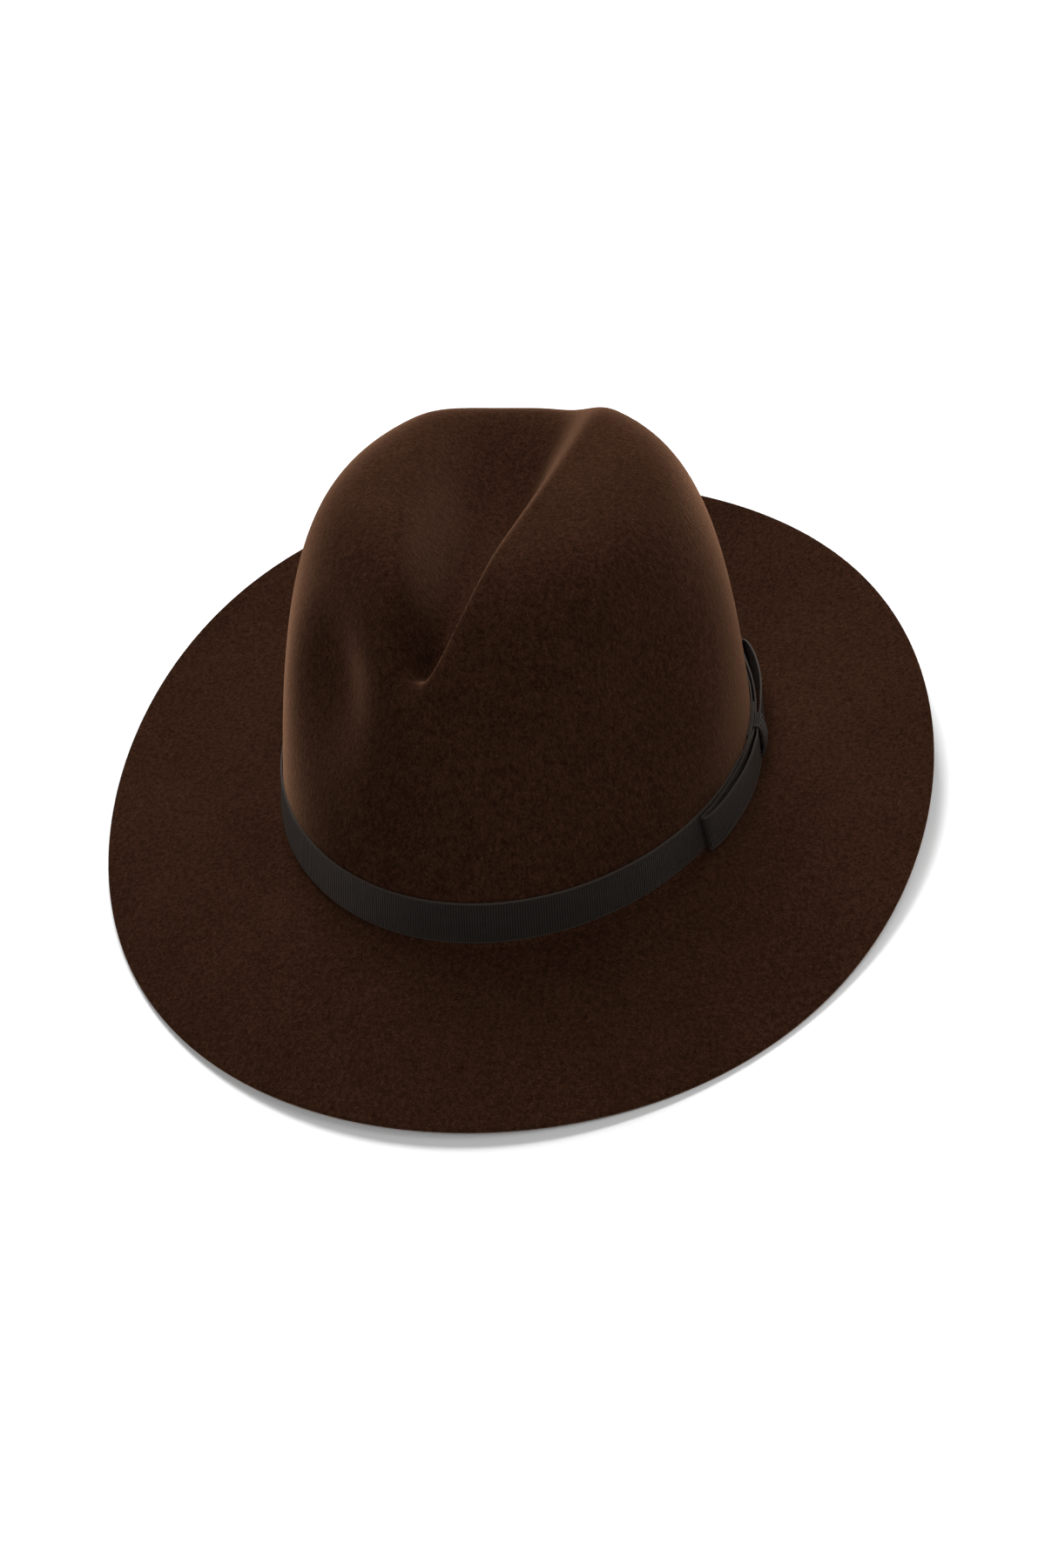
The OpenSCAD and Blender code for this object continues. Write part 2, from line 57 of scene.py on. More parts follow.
CROWN_HEIGHT = 123.0
SIDE_TAPER, END_TAPER, SET_BACK = 0.09, 0.17, 11.5
CROWN_SQUARENESS, SHOULDER_SQUARENESS = 6.5, 2.7
BREAK_SADDLE = 1.5
SHOULDER = 0.8

LEFT_PINCH = dict(at=56.0, depth=8.0, spread=26.0)
RIGHT_PINCH = dict(at=-39.0, depth=9.0, spread=15.0)
PINCH_HEIGHT, PINCH_TALL, PINCH_START = 75.0, 25.0, 25.0
CREASE_DEPTH, CREASE_FRONT_RUN, CREASE_BACK_RUN = 30.0, 30.0, 120.0
CREASE_FRONT_INSET, CREASE_BACK_OUTSET = 21.0, 13.0
CREASE_FRONT_SHIFT, CREASE_BACK_SHIFT = -5.5, 2.5
CREASE_HOOK, CREASE_HOOK_RUN = 11.0, 40.0
LEFT_WALL, LEFT_WALL_GROWTH = (4.0, 35.0), 0.55
RIGHT_WALL, RIGHT_WALL_GROWTH = (12.0, 58.0), 0.8
CREASE_START, CREASE_FULL = 0.5, 0.9

BRIM_WIDTH, BRIM_FRONT_EXTRA, BRIM_SIDE_EXTRA = 65.5, 4.0, 2.0
BRIM_PITCH, BRIM_DIP, BRIM_WAVE = math.radians(9.5), 3.5, 3.7
BREAK_REACH = 2.2
BRIM_SWEEP = 1.1


def soft_step(x):
    """Rises from 0 to 1 as 6x^5 - 15x^4 + 10x^3, with flat ends."""
    x = np.clip(x, 0, 1)
    return x**3 * (x * (6 * x - 15) + 10)


def mix(a, b, share):
    return a + (b - a) * share


def ring_size(row):
    """Width of a ring of the crown: a superellipse up to the shoulder, then evenly in to the middle."""
    foot = (1 - SHOULDER**SHOULDER_SQUARENESS) ** (1 / CROWN_SQUARENESS)
    wall = np.clip(row, 0, SHOULDER)
    side = (1 - wall**SHOULDER_SQUARENESS) ** (1 / CROWN_SQUARENESS)
    return np.where(row < SHOULDER, side, foot * (1 - row) / (1 - SHOULDER))


def ring_height(row):
    """Height of the same ring, as a share of the crown's height."""
    top = (1 - np.clip(ring_size(row), 0, 1) ** CROWN_SQUARENESS) ** (1 / SHOULDER_SQUARENESS)
    return np.where(row < SHOULDER, np.clip(row, 0, 1), top)


def pinch(turn, height, at, depth, spread):
    """A bell-shaped push towards the crown's axis, round one turn and one height."""
    at, spread = math.radians(at), math.radians(spread)
    away = (turn - at + np.pi) % (2 * np.pi) - np.pi
    bell = np.exp(-((away / spread) ** 2) - ((height - PINCH_HEIGHT) / PINCH_TALL) ** 2)
    push = depth * bell * soft_step(height / PINCH_START)
    return push[..., None] * np.array([-math.sin(at), math.cos(at), 0])


def crease(x, y, ease):
    """Drop of the top: a trough whose floor hooks aside in front, between two soft walls that widen to
    the back as powers of the distance along it, faded out at both ends."""
    front, back = CREASE_FRONT_INSET - HALF_LENGTH, HALF_LENGTH + CREASE_BACK_OUTSET
    along = np.clip((y - front) / (back - front), 0, 1)
    hook = CREASE_HOOK * (1 - np.clip((y - front) / CREASE_HOOK_RUN, 0, 1)) ** 2
    floor_x = mix(CREASE_FRONT_SHIFT, CREASE_BACK_SHIFT, along) - hook
    left_wall = mix(*LEFT_WALL, along**LEFT_WALL_GROWTH) + ease
    right_wall = mix(*RIGHT_WALL, along**RIGHT_WALL_GROWTH) + ease
    across = np.where(x > floor_x, (x - floor_x) / left_wall, (floor_x - x) / right_wall)
    front_fade = soft_step((y - front + ease) / CREASE_FRONT_RUN)
    back_fade = soft_step((back - y) / CREASE_BACK_RUN)
    return CREASE_DEPTH * front_fade * back_fade * soft_step(1 - across)


def crown(turn, row, ease=0.0):
    """Rings of the head oval that shrink with height, moved by the two pinches and the crease."""
    size, high = ring_size(row), ring_height(row)
    x = HALF_WIDTH * (1 - SIDE_TAPER * high) * size * np.sin(turn)
    y = SET_BACK * high - HALF_LENGTH * (1 - END_TAPER * high) * size * np.cos(turn)
    z = CROWN_HEIGHT * high - BREAK_SADDLE * np.cos(2 * turn) * (1 - high)
    p = np.stack([x, y, z], -1)
    p = p + pinch(turn, z, **LEFT_PINCH) + pinch(turn, z, **RIGHT_PINCH)
    near_top = soft_step((high - CREASE_START) / (CREASE_FULL - CREASE_START))
    p[..., 2] -= near_top * crease(p[..., 0], p[..., 1], ease)
    return p


def oval_out(turn):
    """Unit vector at right angles to the head oval, in its own plane."""
    out = np.stack([HALF_LENGTH * np.sin(turn), -HALF_WIDTH * np.cos(turn), 0 * turn], -1)
    return out / np.linalg.norm(out, axis=-1, keepdims=True)


def brim(turn, share):
    """A straight run outwards from the crown's foot, whose height follows a tilted and waved edge."""
    foot = crown(turn, np.zeros_like(turn))
    reach = BRIM_WIDTH + BRIM_FRONT_EXTRA * np.cos(turn) - BRIM_SIDE_EXTRA * np.cos(2 * turn)
    edge = foot + oval_out(turn) * reach[..., None]
    edge_z = edge[..., 1] * math.tan(BRIM_PITCH) - BRIM_DIP + BRIM_WAVE * np.cos(3 * turn)
    p = mix(foot, edge, share[..., None])
    p[..., 2] = mix(foot[..., 2], edge_z, np.maximum(share, 0) ** BRIM_SWEEP)
    return p


def felt(turn, row, ease=0.0):
    """Outer face: rows above 0 climb the crown, rows below 0 run out along the brim, and a parabola
    through the break line joins them."""
    turn, row = np.broadcast_arrays(np.asarray(turn, float), np.asarray(row, float))
    top, low = BREAK_REACH / CROWN_HEIGHT, BREAK_REACH / BRIM_WIDTH
    s = np.clip((top - row) / (top + low), 0, 1)[..., None]
    wall, corner, run = crown(turn, top + 0 * row), crown(turn, 0 * row), brim(turn, low + 0 * row)
    bend = mix(mix(wall, corner, s), mix(corner, run, s), s)
    on_crown = crown(turn, np.maximum(row, 0), ease)
    on_brim = brim(turn, np.maximum(-row, 0))
    return np.where((row >= top)[..., None], on_crown, np.where((row <= -low)[..., None], on_brim, bend))


def felt_out(turn, row, ease=0.0, look_turn=math.radians(3), look_row=0.012):
    """Unit normal of the outer face, from differences over a stretch as wide as felt is stiff."""
    round_it = felt(turn + look_turn, row, ease) - felt(turn - look_turn, row, ease)
    up_it = felt(turn, np.minimum(row + look_row, 0.995), ease) - felt(turn, row - look_row, ease)
    out = np.cross(round_it, up_it)
    return out / np.linalg.norm(out, axis=-1, keepdims=True)


def under_felt(turn, row, depth, ease=0.0):
    """A point at a depth in millimetres under the outer face."""
    depth = np.broadcast_to(np.asarray(depth, float), np.broadcast(turn, row).shape)
    return felt(turn, row, ease) - depth[..., None] * felt_out(turn, row, ease)


def stand(points):
    """Leans the hat back as it stands on its brim and moves it to the record's head opening, in metres."""
    c, s = math.cos(STAND_LEAN), math.sin(STAND_LEAN)
    lean = np.array([[1, 0, 0], [0, c, s], [0, -s, c]])
    return points @ lean.T / 1000 + np.array(head["pos_m"])


def run_length(points):
    """Distance along a line of points from its first point."""
    steps = np.linalg.norm(np.diff(points, axis=0), axis=1)
    return np.concatenate([[0], np.cumsum(steps)])


def grid_faces(first, rows, columns, wrap, flip):
    """Quads between neighbouring rows and columns of a grid of vertices that starts at index first."""
    r, c = np.meshgrid(np.arange(rows - 1), np.arange(columns if wrap else columns - 1), indexing="ij")
    d = (c + 1) % columns
    quads = np.stack([r * columns + c, (r + 1) * columns + c, (r + 1) * columns + d, r * columns + d], -1)
    cells = np.stack([r, c, r + 1, c, r + 1, c + 1, r, c + 1], -1).reshape(-1, 4, 2)
    quads = first + quads.reshape(-1, 4)
    return (quads, cells) if flip else (quads[:, ::-1], cells[:, ::-1])


def make_piece(name, points, faces, uvs, material, sharp=40):
    """Puts vertices, faces and one UV corner per face corner into a mesh with smooth shading."""
    mesh = bpy.data.meshes.new(name)
    mesh.from_pydata(points.tolist(), [], faces)
    layer = mesh.uv_layers.new(name="cloth")
    layer.data.foreach_set("uv", np.asarray(uvs, np.float32).ravel())
    mesh.polygons.foreach_set("use_smooth", np.ones(len(faces), bool))
    mesh.set_sharp_from_angle(angle=math.radians(sharp))
    mesh.materials.append(material)
    piece = bpy.data.objects.new(name, mesh)
    bpy.context.scene.collection.objects.link(piece)
    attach(piece, "root")
    return piece


def thick_sheet(name, outer, inner, material, wrap=True, capped=False, sharp=40):
    """Closes the space between two grids of points into one sheet. UVs are metres along and across."""
    outer, inner = stand(outer), stand(inner)
    rows, columns = outer.shape[:2]
    mid = outer[rows // 2]
    u = run_length(np.concatenate([mid, mid[:1]]) if wrap else mid)
    v = run_length(outer[:, columns // 2])
    layer = rows * columns
    quads, cells = [], []
    for first, flip in ((0, False), (layer, True)):
        q, c = grid_faces(first, rows, columns, wrap, flip)
        quads.append(q)
        cells.append(c)
    steps = np.arange(columns if wrap else columns - 1)
    after = (steps + 1) % columns
    for row, flip in ((0, False), (rows - 1, True)):
        if capped and row:
            continue
        a = row * columns
        rim = np.stack([a + steps, layer + a + steps, layer + a + after, a + after], -1)
        cell = np.stack([0 * steps + row, steps, 0 * steps + row, steps, 0 * steps + row, steps + 1,
                         0 * steps + row, steps + 1], -1).reshape(-1, 4, 2)
        quads.append(rim[:, ::-1] if flip else rim)
        cells.append(cell[:, ::-1] if flip else cell)
    if not wrap:
        r = np.arange(rows - 1)
        for column, flip in ((0, True), (columns - 1, False)):
            a = r * columns + column
            rim = np.stack([a, layer + a, layer + a + columns, a + columns], -1)
            cell = np.stack([r, 0 * r + column, r, 0 * r + column, r + 1, 0 * r + column,
                             r + 1, 0 * r + column], -1).reshape(-1, 4, 2)
            quads.append(rim[:, ::-1] if flip else rim)
            cells.append(cell[:, ::-1] if flip else cell)
    faces = np.concatenate(quads).tolist()
    cells = np.concatenate(cells).reshape(-1, 2)
    uvs = np.stack([u[cells[:, 1]], v[cells[:, 0]]], -1)
    if capped:
        ring = (rows - 1) * columns + np.arange(columns)
        faces += [ring.tolist(), (layer + ring)[::-1].tolist()]
        cap_uv = np.stack([u[:columns], np.full(columns, v[-1])], -1)
        uvs = np.concatenate([uvs, cap_uv, cap_uv[::-1]])
    return make_piece(name, np.concatenate([outer.reshape(-1, 3), inner.reshape(-1, 3)]), faces, uvs,
                      material, sharp)


def turns_round(count):
    return np.arange(count) * 2 * np.pi / count


def new_finish(name, roughness, **sockets):
    """A material with its Principled shader, and uniform values set on the shader's own sockets."""
    material = bpy.data.materials.new(name)
    material.use_nodes = True
    shader = material.node_tree.nodes["Principled BSDF"]
    shader.inputs["Roughness"].default_value = roughness
    for socket, value in sockets.items():
        shader.inputs[socket.replace("_", " ")].default_value = value
    return material, shader


def add_node(material, kind, inputs=(), **settings):
    """One shader node, with its settings and its inputs given as values or as other nodes' outputs."""
    node = material.node_tree.nodes.new(kind)
    for key, value in settings.items():
        setattr(node, key, value)
    for key, value in dict(inputs).items():
        if isinstance(value, bpy.types.NodeSocket):
            material.node_tree.links.new(value, node.inputs[key])
        else:
            node.inputs[key].default_value = value
    return node


def noise(material, vector, scale, detail=2.0, roughness=0.5):
    return add_node(material, "ShaderNodeTexNoise", {"Vector": vector, "Scale": scale, "Detail": detail,
                                                     "Roughness": roughness}).outputs["Fac"]


def ramp(material, value, low, high, start=(0, 0, 0, 1), end=(1, 1, 1, 1)):
    """Colour that runs from start at low to end at high."""
    node = add_node(material, "ShaderNodeValToRGB", {"Fac": value})
    stops = node.color_ramp.elements
    stops[0].position, stops[0].color = low, start
    stops[1].position, stops[1].color = high, end
    return node.outputs["Color"]


def blend(material, amount, a, b, kind="MIX"):
    """Mixes two colours; amount, a and b are values or outputs."""
    node = add_node(material, "ShaderNodeMix", data_type="RGBA", blend_type=kind)
    for socket, value in ((0, amount), (6, a), (7, b)):
        if isinstance(value, bpy.types.NodeSocket):
            material.node_tree.links.new(value, node.inputs[socket])
        else:
            node.inputs[socket].default_value = value
    return node.outputs[2]


def bump(material, height, distance, strength=1.0, below=None):
    inputs = {"Height": height, "Distance": distance, "Strength": strength}
    if below is not None:
        inputs["Normal"] = below
    return add_node(material, "ShaderNodeBump", inputs).outputs["Normal"]


def stretched(material, source, scale):
    """A pattern space that is squeezed by scale on each axis."""
    return add_node(material, "ShaderNodeMapping", {"Vector": source, "Scale": scale}).outputs["Vector"]


def join(material, output, shader, socket):
    material.node_tree.links.new(output, shader.inputs[socket])


def felt_finish():
    """Dark brown fur felt: faint clouds of dye, matted fur in short strands, and pale and dark fur ends
    that stand in a brushed nap."""
    m, shader = new_finish("fur_felt", 0.95, Sheen_Weight=0.32, Sheen_Roughness=0.32,
                           Sheen_Tint=(0.88, 0.46, 0.27, 1), Specular_IOR_Level=0.0)
    space = add_node(m, "ShaderNodeTexCoord").outputs["Object"]
    nap = stretched(m, space, (1, 1, 0.45))
    dye = ramp(m, noise(m, space, 34, 4, 0.6), 0.25, 0.75, (0.0225, 0.0093, 0.0050, 1),
               (0.0290, 0.0121, 0.0067, 1))
    clumps = noise(m, nap, 640, 4, 0.7)
    matted = ramp(m, clumps, 0.34, 0.66, (0.60, 0.58, 0.56, 1), (1.35, 1.37, 1.40, 1))
    colour = blend(m, 1.0, dye, matted, "MULTIPLY")
    fur = noise(m, nap, 1700, 3, 0.65)
    ends = ramp(m, fur, 0.36, 0.62, (0.55, 0.55, 0.55, 1), (1.2, 1.2, 1.2, 1))
    colour = blend(m, 1.0, colour, ends, "MULTIPLY")
    pale_ends = ramp(m, noise(m, nap, 1900, 2, 0.5), 0.67, 0.75)
    colour = blend(m, pale_ends, colour, (0.070, 0.034, 0.019, 1))
    join(m, colour, shader, "Base Color")
    rough = bump(m, clumps, 0.00035, 0.55)
    join(m, bump(m, fur, 0.0002, 0.7, rough), shader, "Normal")
    return m


felt_material = felt_finish()
EDGE_ROUND, FELT_COLUMNS = 0.6, 300
edge_bow = np.radians([0, 25, 50, 75, 90])
edge_rows = -1 + EDGE_ROUND * (1 - np.sin(edge_bow)) / BRIM_WIDTH
edge_depth = EDGE_ROUND * (1 - np.cos(edge_bow))
brim_rows = -1 + np.linspace(0, 1, 34)[1:-1] ** 0.9 * (1 - 0.045)
break_rows = np.linspace(-0.04, 0.03, 10)
wall_rows = np.linspace(0.045, SHOULDER, 46)
top_rows = np.linspace(SHOULDER, 0.992, 64)[1:]
face_rows = np.concatenate([edge_rows[::-1], brim_rows, break_rows, wall_rows, top_rows])
face_depth = np.concatenate([edge_depth[::-1], 0 * face_rows[len(edge_rows):]])
turn_grid, row_grid = np.meshgrid(turns_round(FELT_COLUMNS), face_rows)
depth_grid = np.repeat(face_depth[:, None], FELT_COLUMNS, 1)
felt_piece = thick_sheet("felt_hat", under_felt(turn_grid, row_grid, depth_grid),
                         under_felt(turn_grid, row_grid, FELT - depth_grid), felt_material,
                         capped=True, sharp=80)
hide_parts("felt_body")


# --- Ribbon band ---------------------------------------------------------------------------------
# A strip of dark grosgrain is drawn round the foot of the crown, with its ends lapped under the bow
# and a few hidden tacks. Its weft ribs stand across it, between two plain selvedges.

RIBBON_WIDTH, RIBBON, RIBBON_FOOT = 15.0, 0.6, 1.2
RIBBON_GAP, RIBBON_WAVE = 0.25, 0.06
RIB_PITCH = 0.00095
KNOT_TURN = math.radians(99)
RIBBON_LAP = 22 / HALF_LENGTH
LAP_CLIMB_BEFORE, LAP_CLIMB = math.radians(10), math.radians(7.5)


def on_wall(turn, height, depth, look_turn=math.radians(3), look_row=0.012):
    """A point beside the straight wall of the crown, at a height over the break line."""
    turn, height, depth = np.broadcast_arrays(turn, height, depth)
    row = np.maximum(height, 0.1) / CROWN_HEIGHT
    here = crown(turn, row)
    round_it = crown(turn + look_turn, row) - crown(turn - look_turn, row)
    out = np.cross(round_it, crown(turn, row + look_row) - here)
    return here - depth[..., None] * out / np.linalg.norm(out, axis=-1, keepdims=True)


def grosgrain_finish(name, tone, width):
    """Ribbed ribbon: ribs across its width, smooth selvedges along both edges, and a low silk shine. The
    ribs' colour is painted shade in the furrows and painted highlight on the crests.
    """
    m, shader = new_finish(name, 0.6, Sheen_Weight=0.12, Sheen_Roughness=0.35,
                           Sheen_Tint=(0.6, 0.46, 0.38, 1), Specular_IOR_Level=0.12)
    cloth = add_node(m, "ShaderNodeUVMap", uv_map="cloth").outputs["UV"]
    parts = add_node(m, "ShaderNodeSeparateXYZ", {"Vector": cloth})
    along = add_node(m, "ShaderNodeMath", {0: parts.outputs["X"], 1: 2 * math.pi / RIB_PITCH},
                     operation="MULTIPLY").outputs[0]
    rib = add_node(m, "ShaderNodeMath", {0: along}, operation="SINE").outputs[0]
    half = width / 2000
    off_middle = add_node(m, "ShaderNodeMath", {0: parts.outputs["Y"], 1: half}, operation="SUBTRACT")
    off_middle = add_node(m, "ShaderNodeMath", {0: off_middle.outputs[0]}, operation="ABSOLUTE").outputs[0]
    selvedge = add_node(m, "ShaderNodeMapRange", {"Value": off_middle, "From Min": half - 0.0007,
                                                  "From Max": half - 0.0005}).outputs["Result"]
    # Rib colour follows the rib bump's wave: painted shade in each furrow and painted highlight on each
    # crest, 0.4 to 1.6 times the tone.
    shade = ramp(m, add_node(m, "ShaderNodeMapRange", {"Value": rib, "From Min": -1.0,
                                                       "From Max": 1.0}).outputs["Result"],
                 0.1, 0.9, tuple(0.4 * x for x in tone) + (1,), tuple(1.6 * x for x in tone) + (1,))
    fade = ramp(m, noise(m, stretched(m, cloth, (60, 400, 1)), 1.0, 3, 0.5), 0.25, 0.75,
                (0.82, 0.82, 0.82, 1), (1.15, 1.15, 1.15, 1))
    shade = blend(m, 1.0, shade, fade, "MULTIPLY")
    shade = blend(m, selvedge, shade, tuple(2.3 * x for x in tone) + (1,))
    join(m, shade, shader, "Base Color")
    flat_rib = add_node(m, "ShaderNodeMath", {0: 1.0, 1: selvedge}, operation="SUBTRACT").outputs[0]
    height = add_node(m, "ShaderNodeMath", {0: rib, 1: flat_rib}, operation="MULTIPLY").outputs[0]
    weave = bump(m, noise(m, stretched(m, cloth, (5200, 2600, 1)), 1.0, 1), 0.00005, 0.5)
    join(m, bump(m, height, 0.00018, 1.0, weave), shader, "Normal")
    return m


RIBBON_TONE = (0.0120, 0.0087, 0.0066)
ribbon_material = grosgrain_finish("grosgrain", RIBBON_TONE, RIBBON_WIDTH)
ribbon_rows = np.array([0, 0.25, 0.7, 1.1, 3, 6, 9, 12, 13.9, 14.3, 14.75, 15])
selvedge_bead = np.array([-0.2, 0, 0.05, 0, 0, 0, 0, 0, 0, 0.05, 0, -0.2])
lap_start = KNOT_TURN - RIBBON_LAP / 2
band_turns = np.linspace(lap_start, lap_start + 2 * np.pi + RIBBON_LAP, 420)
past_lap = band_turns - lap_start - 2 * np.pi + LAP_CLIMB_BEFORE
lift = (RIBBON + RIBBON_GAP / 2) * soft_step(past_lap / LAP_CLIMB)
band_out = RIBBON_GAP + lift[None] + RIBBON_WAVE * np.sin(9 * band_turns)[None] ** 2
heights = (RIBBON_FOOT + ribbon_rows)[:, None]
band_piece = thick_sheet(
    "ribbon_round_crown", on_wall(band_turns[None], heights, -band_out - RIBBON - selvedge_bead[:, None]),
    on_wall(band_turns[None], heights, -band_out), ribbon_material, wrap=False)
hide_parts("ribbon_band")


# --- Side bow ------------------------------------------------------------------------------------
# A flat bow of the same grosgrain lies over the band's lap on the wearer's left: a long front loop, a
# rear loop that stands open, and a short strip wrapped round their gathered middle as the knot.

BAND_COVER = RIBBON_GAP + 2 * RIBBON + RIBBON_GAP
GATHER, GATHER_RUN = 1.3, 12.0
KNOT_WIDTH = 9.0
BOW_SLANT, BOW_LIFT, BOW_FLARE = 3.2, 0.8, 0.5
BOW_FOLD, BOW_FOLDS = 0.28, 3
LAYER_GAP = 0.3


def loop_path(length, held, base, opening, puff, steps=46, fold_steps=14):
    """Side view of a loop as [distance from the knot, distance from the felt]: a straight lower layer,
    half a circle, and an upper layer that sinks from the fold's height to the knot with a sine puff."""
    lower = base + RIBBON / 2
    radius = (RIBBON + opening) / 2
    tip = length - radius - RIBBON / 2
    out = np.linspace(1, tip, steps)
    half_turn = np.linspace(-np.pi / 2, np.pi / 2, fold_steps + 2)[1:-1]
    s = np.linspace(0, 1, steps)
    sink = mix(2 * radius, RIBBON + LAYER_GAP, soft_step(s))
    upper = lower + sink + puff * np.sin(np.pi * s**0.8) ** 0.7
    flat = np.linspace(held, 1, 5)[1:]
    return np.concatenate([
        np.stack([out, 0 * out + lower], -1),
        np.stack([tip + radius * np.cos(half_turn), lower + radius + radius * np.sin(half_turn)], -1),
        np.stack([mix(tip, held, s), upper], -1),
        np.stack([flat, 0 * flat + upper[-1]], -1)])


def path_side(path):
    """Unit vector to the left of the path at each of its points."""
    along = np.gradient(path, axis=0)
    along /= np.linalg.norm(along, axis=1, keepdims=True)
    return np.stack([-along[:, 1], along[:, 0]], -1)


def bow_loop(name, at_turn, way, length, held, width, foot, base, opening, puff, material, outwards=1):
    """The path swept across the ribbon's width along the crown's wall. The ribbon is squeezed and
    folded where the knot holds it, and its upper edge stands a little further out than its lower."""
    path = loop_path(length, held, base, opening, puff)
    side = path_side(path)
    share = np.array([0, 0.02, 0.06, 0.14, 0.24, 0.34, 0.44, 0.56, 0.66, 0.76, 0.86, 0.94, 0.98, 1])
    gathered = 1 - soft_step((path[:, 0] - held) / GATHER_RUN)
    near_fold = soft_step((path[:, 0] / length - 0.6) / 0.4)[None]
    slant = BOW_SLANT * near_fold * (share[:, None] - 0.5)
    lift = BOW_LIFT * near_fold
    squeeze = GATHER * width / RIBBON_WIDTH * gathered
    heights = foot + squeeze[None] + (width - 2 * squeeze[None]) * share[:, None]
    upper = soft_step((path[:, 1] - base - RIBBON) / 1.2)[None]
    folds = BOW_FOLD * gathered[None] * upper * (1 + np.cos(2 * np.pi * BOW_FOLDS * share[:, None]))
    flare = BOW_FLARE * upper * (1 - gathered[None]) * soft_step(share[:, None]) * (puff + opening > 1)

    def face(thickness):
        moved = path + thickness * side
        turn = at_turn + way * (moved[None, :, 0] + slant) / HALF_LENGTH
        return on_wall(turn, heights, -outwards * (moved[None, :, 1] + folds + flare + lift))

    near, far = face(RIBBON / 2 * way * outwards), face(-RIBBON / 2 * way * outwards)
    piece = thick_sheet(name, near, far, material, wrap=False, sharp=60)
    return piece


front_loop = bow_loop("bow_front_loop_ribbon", KNOT_TURN, -1, 62.0, KNOT_WIDTH / 2, RIBBON_WIDTH,
                      RIBBON_FOOT, BAND_COVER, 0.4, 1.4, ribbon_material)
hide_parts("bow_front_loop")
rear_loop = bow_loop("bow_rear_loop_ribbon", KNOT_TURN, 1, 53.0, KNOT_WIDTH / 2, RIBBON_WIDTH,
                     RIBBON_FOOT, BAND_COVER, 2.2, 0.9, ribbon_material)
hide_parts("bow_rear_loop")


KNOT_CORNER, KNOT_FOLD, KNOT_EDGE_DIP, KNOT_WAIST = 0.4, 0.16, 0.3, 0.12


def knot_wrap(name, at_turn, width, loop_width, foot, base, swell, material, outwards=1):
    """A bracket-shaped profile over the loops' edges, swept along the band. Its face swells as a sine
    from edge to edge and is ribbed by soft folds that run the way the strip is pulled."""
    squeeze = GATHER * loop_width / RIBBON_WIDTH
    low, high = foot + squeeze - RIBBON_GAP, foot + loop_width - squeeze + RIBBON_GAP
    rise = base + 2 * RIBBON + LAYER_GAP + 2 * BOW_FOLD + RIBBON_GAP
    s = np.linspace(0, 1, 25)
    leg = np.linspace(base, rise - KNOT_CORNER, 5)
    corner = np.radians([20, 45, 70])
    corner_in, corner_up = KNOT_CORNER * (1 - np.cos(corner)), rise - KNOT_CORNER * (1 - np.sin(corner))
    inner = np.concatenate([
        np.stack([0 * leg + low, leg], -1),
        np.stack([low + corner_in, corner_up], -1),
        np.stack([mix(low + KNOT_CORNER, high - KNOT_CORNER, s),
                  rise + swell * np.sin(np.pi * s) ** 0.8], -1),
        np.stack([high - corner_in[::-1], corner_up[::-1]], -1),
        np.stack([0 * leg + high, leg[::-1]], -1)])
    outer = inner + RIBBON * path_side(inner)
    places = np.linspace(-width / 2, width / 2, 25)
    lift = soft_step((inner[:, 1] - base) / 1.5)
    edge = (np.abs(places) / (width / 2)) ** 4
    ripple = KNOT_FOLD * np.cos(places * 2 * np.pi / (width / 3.5)) - KNOT_EDGE_DIP * edge
    folds = ripple[:, None] * lift[None]
    waist = 1 - KNOT_WAIST * np.sin(np.pi * np.clip((inner[:, 0] - low) / (high - low), 0, 1))

    def face(profile):
        turn = at_turn + places[:, None] * waist[None] / HALF_LENGTH
        return on_wall(turn, profile[None, :, 0], -outwards * (profile[None, :, 1] + folds))

    first, second = (inner, outer) if outwards > 0 else (outer, inner)
    piece = thick_sheet(name, face(first), face(second), material, wrap=False, sharp=60)
    return piece


knot_material = grosgrain_finish("grosgrain_knot", RIBBON_TONE, 9.0)
knot = knot_wrap("bow_knot_ribbon", KNOT_TURN, KNOT_WIDTH, RIBBON_WIDTH, RIBBON_FOOT, BAND_COVER, 1.2,
                 knot_material)
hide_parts("bow_knot")


# --- Sewing on the outside -----------------------------------------------------------------------
# Short tacks of dark waxed thread hold the ribbon to the felt, and two more hold the bow's folded
# front end down on the band.

THREAD = 0.22
TACK_TURNS, TACK, TACK_TILT = np.radians([57.5, 150, 205, 255]), 2.4, math.radians(68)
BOW_STITCH_BACK, BOW_STITCH_INSET, BOW_STITCH = 60.6, 2.2, 1.3


